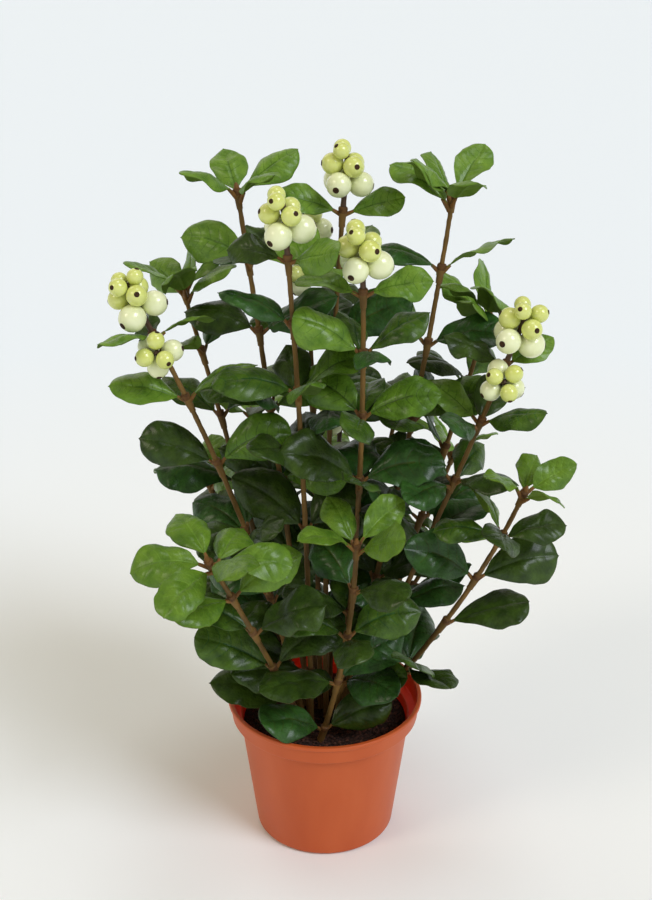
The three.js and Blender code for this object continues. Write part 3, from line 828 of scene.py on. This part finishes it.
def makeBerries():
    draw = makeRandom(berry["seed"])
    beads, eyes, stalks = newPile(), newPile(), newPile()
    for cluster in [cluster for shoot in shoots for cluster in shoot["clusters"]]:
        pour(stalks, *tubeAlong(stalkPath(cluster), berry["stalkSides"]))
        for bead in cluster["berries"]:
            radius = bead["radius"]
            sway = Vector((draw(-1, 1), draw(-1, 1), draw(-1, 1))) * berry["sway"]
            pole = (bead["out"] + cluster["axis"] * berry["lift"] * bead["layer"] + sway).normalized()
            isGreen = int(bead["layer"] > 0)
            pour(beads, *turnedAbout(bead["centre"], pole, beadProfile(radius), berry["sides"]), isGreen)
            eye = max(berry["eyeShare"] * radius, berry["eyeLeast"])
            plug = [(eye * width, radius * berry["eyeSeat"] + rise) for width, rise in berry["eyeProfile"]]
            pour(eyes, *turnedAbout(bead["centre"], pole, plug, berry["eyeSides"]))
            stem = bead["centre"] - bead["root"]
            path = [(bead["root"] + stem * share, stem.normalized(), berry["stemRadius"])
                    for share in (0, berry["stemReach"])]
            pour(stalks, *tubeAlong(path, berry["stemSides"]))
    # Polystyrene beads, blown and dipped in clear lacquer: cream with a green cast, wet looking.
    lacquer = dict(grain=4, relief=0.05, Roughness=0.24, IOR=1.55, Coat_Weight=0.4, Coat_Roughness=0.08)
    creamPolystyrene = makeMaterial("creamPolystyrene", ["#eef1c6", "#e6ebb3"], patch=9, **lacquer)
    greenPolystyrene = makeMaterial("greenPolystyrene", ["#dbe185", "#ced56b"], patch=7, **lacquer)
    # Floral wax, dabbed over the wire's end: a ragged blackish brown, dull.
    floralWax = makeMaterial("floralWax", ["#23150a", "#4a3119"], patch=1.5, grain=0.6, relief=0.3,
                             Roughness=0.7, Specular_IOR_Level=0.2)
    # Floral tape, waxed paper wound over the wire: dark brown with a dull sheen.
    floralTape = makeMaterial("floralTape", ["#3d2718", "#523622"], patch=6, grain=1.2, relief=0.15,
                              Roughness=0.6)
    berried = {shoot["name"] for shoot in shoots if shoot["clusters"]}
    berriedNodes = [name for name in massNodes if name.rsplit("_", 1)[0] in berried]
    makePiece("berryBeads", beads, [creamPolystyrene, greenPolystyrene], berriedNodes,
              sharpFrom=80)
    makePiece("berryEyes", eyes, [floralWax], berriedNodes)
    makePiece("berryStalks", stalks, [floralTape], berriedNodes)


makeBerries()


# Blades: each leaf is a thin pressed sheet with a sunk midrib, side veins, puffed halves and a wavy edge.
blade = {
    "edgeStops": [0, 0.045, 0.12, 0.26, 0.42, 0.58, 0.75, 0.9, 1],
    "neckRows": [0.4, 0.3],  # how far before the blade's start, as shares of its petiole
    "puffRows": [0.4, 0.65],  # past each vein, as shares of the gap between veins
    "tipRows": [0.955, 0.98, 0.994, 1],
    "thickness": 0.5,
    "neckEnd": 0.2,  # this and tipFrom are shares of the blade's length
    "tipFrom": 0.8,
    "neckHalfWidth": 1,
    "tipHalfWidth": 0.04,
    "traits": {  # each leaf draws its own values from these ranges
        "baseTaper": (0.68, 0.95),
        "tipTaper": (0.46, 0.72),
        "tipPoint": (0.1, 1.6),
        "margin": (0.03, 0.09),
        "fold": (0.2, 0.6),
        "twist": (-0.35, 0.35),
        "tipCurl": (-7, 2),
        "wave": (1, 3.2),
        "waves": (0.8, 2),
        "crinkle": (0.9, 2.2),
    },
    "arch": (-0.8, -0.15),  # likewise, for each half of a leaf
    "crinkleSize": 11,
    "crinkleApart": 40,  # mm in the noise from one leaf to the next
    "midribRound": 1.4,
    # how far up the blade the painted shade along the midrib crease reaches, as a share of its length
    "creaseEnd": 0.6,
    "ribDepth": 0.9,
    "ribWidth": 0.9,
    "veins": 6,
    "firstVein": 0.08,
    "veinGap": 0.148,
    "veinSweep": 0.9,
    "veinDepth": 0.17,
    "veinWidth": 0.8,
    "veinBank": 0.5,
    "veinReach": 5,
    "veinInset": 3,  # mm from the midrib to where veins and puffs are full
    "puff": 0.12,
    "pieces": ["frontLeaves", "tallLeaves", "sideLeaves", "lowLeaves", "backLeaves"],
    "shootsPerPiece": 4,
    "seed": 2024,
}


# One leaf's own shape, as its press and its packing left it.
def drawShape(draw):
    shape = {name: draw(*span) for name, span in blade["traits"].items()}
    shape["arch"] = [draw(*blade["arch"]) for _ in range(2)]
    shape["phases"] = [draw(0, 2 * math.pi) for _ in range(6)]
    return shape


# The rows along a blade: one in each side vein, one on each bank of it, and two on the puff above it.
def bladeRows(leaf):
    bank = blade["veinBank"] / leaf["length"]
    rows = [-share * leaf["petiole"] / leaf["length"] for share in blade["neckRows"]] + [0]
    for index in range(blade["veins"]):
        vein = blade["firstVein"] + blade["veinGap"] * index
        rows += [vein - bank, vein, vein + bank]
        rows += [vein + share * blade["veinGap"] for share in blade["puffRows"]]
    return rows + blade["tipRows"]


# How far the blade's face stands over the leaf's plane, at a place across it from -1 to 1.
def bladeHeight(shape, share, across, width, length):
    half = int(across > 0)
    body = math.sin(math.pi * share) ** 0.6
    ripple = math.sin(2 * math.pi * shape["waves"] * share + shape["phases"][half])
    spot = Vector((share * length, across * width, blade["crinkleApart"] * shape["phases"][2]))
    dent = noise.noise(spot / blade["crinkleSize"])
    midrib = blade["midribRound"]
    return (shape["fold"] * (1 - 0.5 * share) * (math.hypot(across * width, midrib) - midrib)
            + shape["arch"][half] * width * across ** 2
            + shape["twist"] * share * across * width
            + shape["tipCurl"] * share ** 3
            + shape["wave"] * across ** 2 * body * ripple
            + shape["crinkle"] * body * dent)


# The press marks in a row: the sunk midrib, the side vein if the row is in one, and the puff if it is not.
def pressMark(row, share, across, reach, length):
    rib = blade["ribDepth"] * (1 - 0.6 * share) * math.exp(-(reach / blade["ribWidth"]) ** 2)
    phase = (row - blade["firstVein"]) / blade["veinGap"]
    gap = (phase - round(phase)) * blade["veinGap"] * length
    inner = min(1, reach / blade["veinInset"]) * (1 - across ** 4)
    vein = blade["veinDepth"] * math.exp(-(gap / blade["veinWidth"]) ** 2)
    puff = blade["puff"] * math.sin(math.pi * phase) ** 2 * math.sin(math.pi * min(max(row, 0), 1))
    return inner * (puff - vein) - rib


# The points of a blade's top and then of its underside, row by row.
def bladePoints(leaf, shape, rows, places):
    at = leafFrame(leaf)
    length, petiole = leaf["length"], leaf["petiole"]
    tops, bottoms = [], []
    for row in rows:
        for across in places:
            inside = min(max(row, 0), 1)
            share = row + blade["veinSweep"] * abs(across) ** 1.5 * inside * (1 - inside)
            inside = min(max(share, 0), 1)
            width = halfWidth(inside, length, shape["baseTaper"], shape["tipTaper"])
            width = max(width, blade["neckHalfWidth" if inside < blade["neckEnd"] else "tipHalfWidth"])
            phase = shape["phases"][4 + (across > 0)]  # of the two slow waves that make the edge uneven
            uneven = math.sin(4 * math.pi * inside + phase) + 0.6 * math.sin(9 * math.pi * inside + 3 * phase)
            reach = abs(across) * width * (1 + shape["margin"] * inside * uneven)
            towardsTip = max(0, inside - blade["tipFrom"]) / (1 - blade["tipFrom"])
            drawn = shape["tipPoint"] * towardsTip * (1 - abs(across)) ** 2
            point, side, face = at(petiole + length * share + drawn)
            height = bladeHeight(shape, inside, across, width, length)
            height += pressMark(row, inside, across, reach, length) * min(1, width / blade["veinInset"])
            spot = point + side * math.copysign(reach, across)
            tops.append(spot + face * height)
            bottoms.append(spot + face * (height - blade["thickness"]))
    return tops + bottoms


# The faces of a blade, with the finish of each: 0 is its top, 1 its midrib and veins, in a darker green as
# painted shade in the grooves, 2 the rest.
def bladeFaces(rows, columns):
    total = len(rows) * columns
    firstVein = rows.index(0) + 1  # its bank follows the row where the blade starts
    perVein = (len(rows) - firstVein - len(blade["tipRows"])) // blade["veins"]
    topFaces, otherFaces, finishes = [], [], []

    def closeEdge(a, step, flip):
        edge = [a, total + a, total + a + step, a + step]
        otherFaces.append(edge[::-1] if flip else edge)

    for row in range(len(rows) - 1):
        inVein = 0 <= row - firstVein < perVein * blade["veins"] and (row - firstVein) % perVein == 0
        for column in range(columns - 1):
            a = row * columns + column
            b = a + columns
            topFaces.append([a, b, b + 1, a + 1])
            otherFaces.append([total + a, total + a + 1, total + b + 1, total + b])
            off = abs(column - columns / 2 + 1)
            # The crease near the base and the sunk side veins take the darker finish: painted shade in the
            # grooves.
            isCrease = rows[row] < blade["creaseEnd"] and off < 1
            finishes.append(1 if isCrease or inVein and off < blade["veinReach"] else 0)
        closeEdge(row * columns, columns, False)
        closeEdge(row * columns + columns - 1, columns, True)
    for row in (0, len(rows) - 1):
        for column in range(columns - 1):
            closeEdge(row * columns + column, 1, row > 0)
    return topFaces + otherFaces, finishes + [2] * len(otherFaces)


def growBlade(leaf, draw):
    rows = bladeRows(leaf)
    places = [-stop for stop in blade["edgeStops"][:0:-1]] + blade["edgeStops"]
    return bladePoints(leaf, drawShape(draw), rows, places), *bladeFaces(rows, len(places))


# The printed greens, and which of them a leaf has.
greens = {
    "tones": {  # top and underside
        "bright": (["#466818", "#698a28"], ["#607626", "#536a21"]),
        "fresh": (["#4b701c", "#749632"], ["#5f782b", "#506a25"]),
        "middle": (["#3a5a13", "#5e8322"], ["#51672b", "#465a26"]),
        "deep": (["#243e0d", "#4c6b1c"], ["#44542b", "#3a4a25"]),
        "cool": (["#193510", "#376023"], ["#3e5033", "#35462c"]),
        "dark": (["#1e310c", "#3c5417"], ["#414d27", "#384321"]),
    },
    "evenHeight": 270,  # mm up, where a leaf's depth is any from 0 to 1
    "heightSpan": 560,  # mm down from there, where it is 1 more
    "freshTo": {"leafy": (0.9, 0.2), "berried": (0.5, 0.2)},  # down to which depth the top tiers are fresh
    "shadesTo": {"middle": 0.2, "deep": 0.46, "cool": 0.72, "dark": math.inf},  # likewise, for the shades
}


# Low tips are bright and heads fresh, and the other leaves have four shades that deepen down the plant.
def toneOf(shoot, leaf, draw):
    depth = draw(0, 1) + (greens["evenHeight"] - leaf["node"].z) / greens["heightSpan"]
    if leaf["tier"] < shoot.get("bright", 0):
        return "bright"
    freshTo = greens["freshTo"]["berried" if shoot["clusters"] else "leafy"]
    if leaf["tier"] < len(freshTo) and depth < freshTo[leaf["tier"]]:
        return "fresh"
    return next(shade for shade, deepest in greens["shadesTo"].items() if depth < deepest)


def makeLeaves():
    draw = makeRandom(blade["seed"])
    names = list(greens["tones"])
    finishes = []
    # Polyester leaves, printed, waxed and hot pressed: satin on top with a cool sheen, matt beneath.
    for name, (top, under) in greens["tones"].items():
        finishes += [makeMaterial(name + "PressedPolyester", top, patch=8, grain=1.7, relief=0.9,
                                  Roughness=0.5, IOR=1.5, Specular_IOR_Level=0.08, Coat_Weight=0.46,
                                  Coat_Roughness=0.27),
                     makeMaterial(name + "PolyesterBack", under, patch=5, grain=1.6, relief=0.3,
                                  Roughness=0.62, IOR=1.48, Specular_IOR_Level=0.08)]
    piles = {name: newPile() for name in blade["pieces"]}
    for index, shoot in enumerate(shoots):
        pile = piles[blade["pieces"][index // blade["shootsPerPiece"]]]
        for leaf in shoot["leaves"]:
            tone = names.index(toneOf(shoot, leaf, draw))
            # Crease and vein faces take the next darker green: painted shade.
            creaseShadeTone = min(tone + 1, len(names) - 1)
            points, faces, places = growBlade(leaf, draw)
            pour(pile, points, faces, [(2 * tone, 2 * creaseShadeTone, 2 * tone + 1)[place] for place in places])
    for name, pile in piles.items():
        makePiece(name, pile, finishes, massNodes, sharpFrom=70)


makeLeaves()


# Stage: a plain pale sheet, even soft light with its key from the right, and a camera above the front.
stage = {
    "sheetSize": 60,  # in metres, like the sweep
    "sheet": ["#f5f8f8", "#f0f8ff"],
    "sweep": (0.35, 1),  # how far out the sheet turns from its near tone to its far one: a painted tint of the light, warmer near the pot and cooler further out
    "lens": 60,
    "camera": (0.8, -855.4, 659.5),
    "lookDown": 24.07,
    "walls": "#e8edf0",
    "ceiling": "#9a9280",
    "wallTop": (0.1, 0.36),  # where the walls begin and end to darken, as a share of straight up
    "lights": [  # where it stands, how wide it looks in degrees, strength, colour
        ("keyLight", (0.56, -0.47, 0.68), 28, 1.75, "#edf3ff"),
        ("fillLight", (-0.66, -0.42, 0.62), 18, 0.5, "#fff2de"),
        ("topLight", (0.1, 0.05, 0.99), 22, 0.45, "#f8faff"),
        ("backLight", (-0.35, 0.75, 0.56), 44, 0.4, "#fffaf2"),
    ],
}


def makeFloor():
    bpy.ops.mesh.primitive_plane_add(size=stage["sheetSize"], location=(0, 0, 0))
    floor = bpy.context.object
    floor.name = "paleFloor"
    # Background card, matt coated: flat and even, with two tones laid over it as a painted tint of the light,
    # warmer near the pot and cooler further out.
    card = makeMaterial("coatedCard", stage["sheet"], patch=400, grain=3, relief=0.02, Roughness=0.9)
    tree = card.node_tree
    spot = addNode(tree, "ShaderNodeTexCoord", {}, {})
    distance = addNode(tree, "ShaderNodeVectorMath", {"operation": "LENGTH"},
                       {"Vector": spot.outputs["Object"]})
    sweep = addNode(tree, "ShaderNodeMapRange",
                    {"From Min": stage["sweep"][0], "From Max": stage["sweep"][1]},
                    {"Value": distance.outputs["Value"]})
    # The card's two tones, a painted tint of the light, follow the distance from the pot instead of the
    # patches.
    tree.links.new(sweep.outputs["Result"], tree.nodes["Mix"].inputs[0])
    floor.data.materials.append(card)


def makeRoom():
    world = bpy.data.worlds.new("paleRoom")
    bpy.context.scene.world = world
    world.use_nodes = True
    tree = world.node_tree
    place = addNode(tree, "ShaderNodeTexCoord", {}, {})
    height = addNode(tree, "ShaderNodeSeparateXYZ", {}, {"Vector": place.outputs["Generated"]})
    rise = addNode(tree, "ShaderNodeMapRange",
                   {"From Min": stage["wallTop"][0], "From Max": stage["wallTop"][1]},
                   {"Value": height.outputs["Z"]})
    walls, ceiling = toLinear(stage["walls"]), toLinear(stage["ceiling"])
    room = addNode(tree, "ShaderNodeMix", {"data_type": "RGBA", 6: walls, 7: ceiling},
                   {0: rise.outputs["Result"]})
    tree.links.new(room.outputs[2], tree.nodes["Background"].inputs["Color"])


def makeLights():
    for name, place, width, strength, colour in stage["lights"]:
        data = bpy.data.lights.new(name, "SUN")
        data.angle = math.radians(width)
        data.energy = strength
        data.color = toLinear(colour)[:3]
        light = bpy.data.objects.new(name, data)
        light.location = place
        light.rotation_euler = (-Vector(place)).to_track_quat("-Z", "Y").to_euler()
        bpy.context.scene.collection.objects.link(light)


def makeCamera():
    data = bpy.data.cameras.new("camera")
    data.lens = stage["lens"]
    camera = bpy.data.objects.new("camera", data)
    camera.location = [c * mm for c in stage["camera"]]
    camera.rotation_euler = (math.radians(90 - stage["lookDown"]), 0, 0)
    scene = bpy.context.scene
    scene.collection.objects.link(camera)
    scene.camera = camera
    scene.view_settings.view_transform = "Standard"


makeFloor()
makeRoom()
makeLights()
makeCamera()
print("stage set with", len(stage["lights"]), "lights")
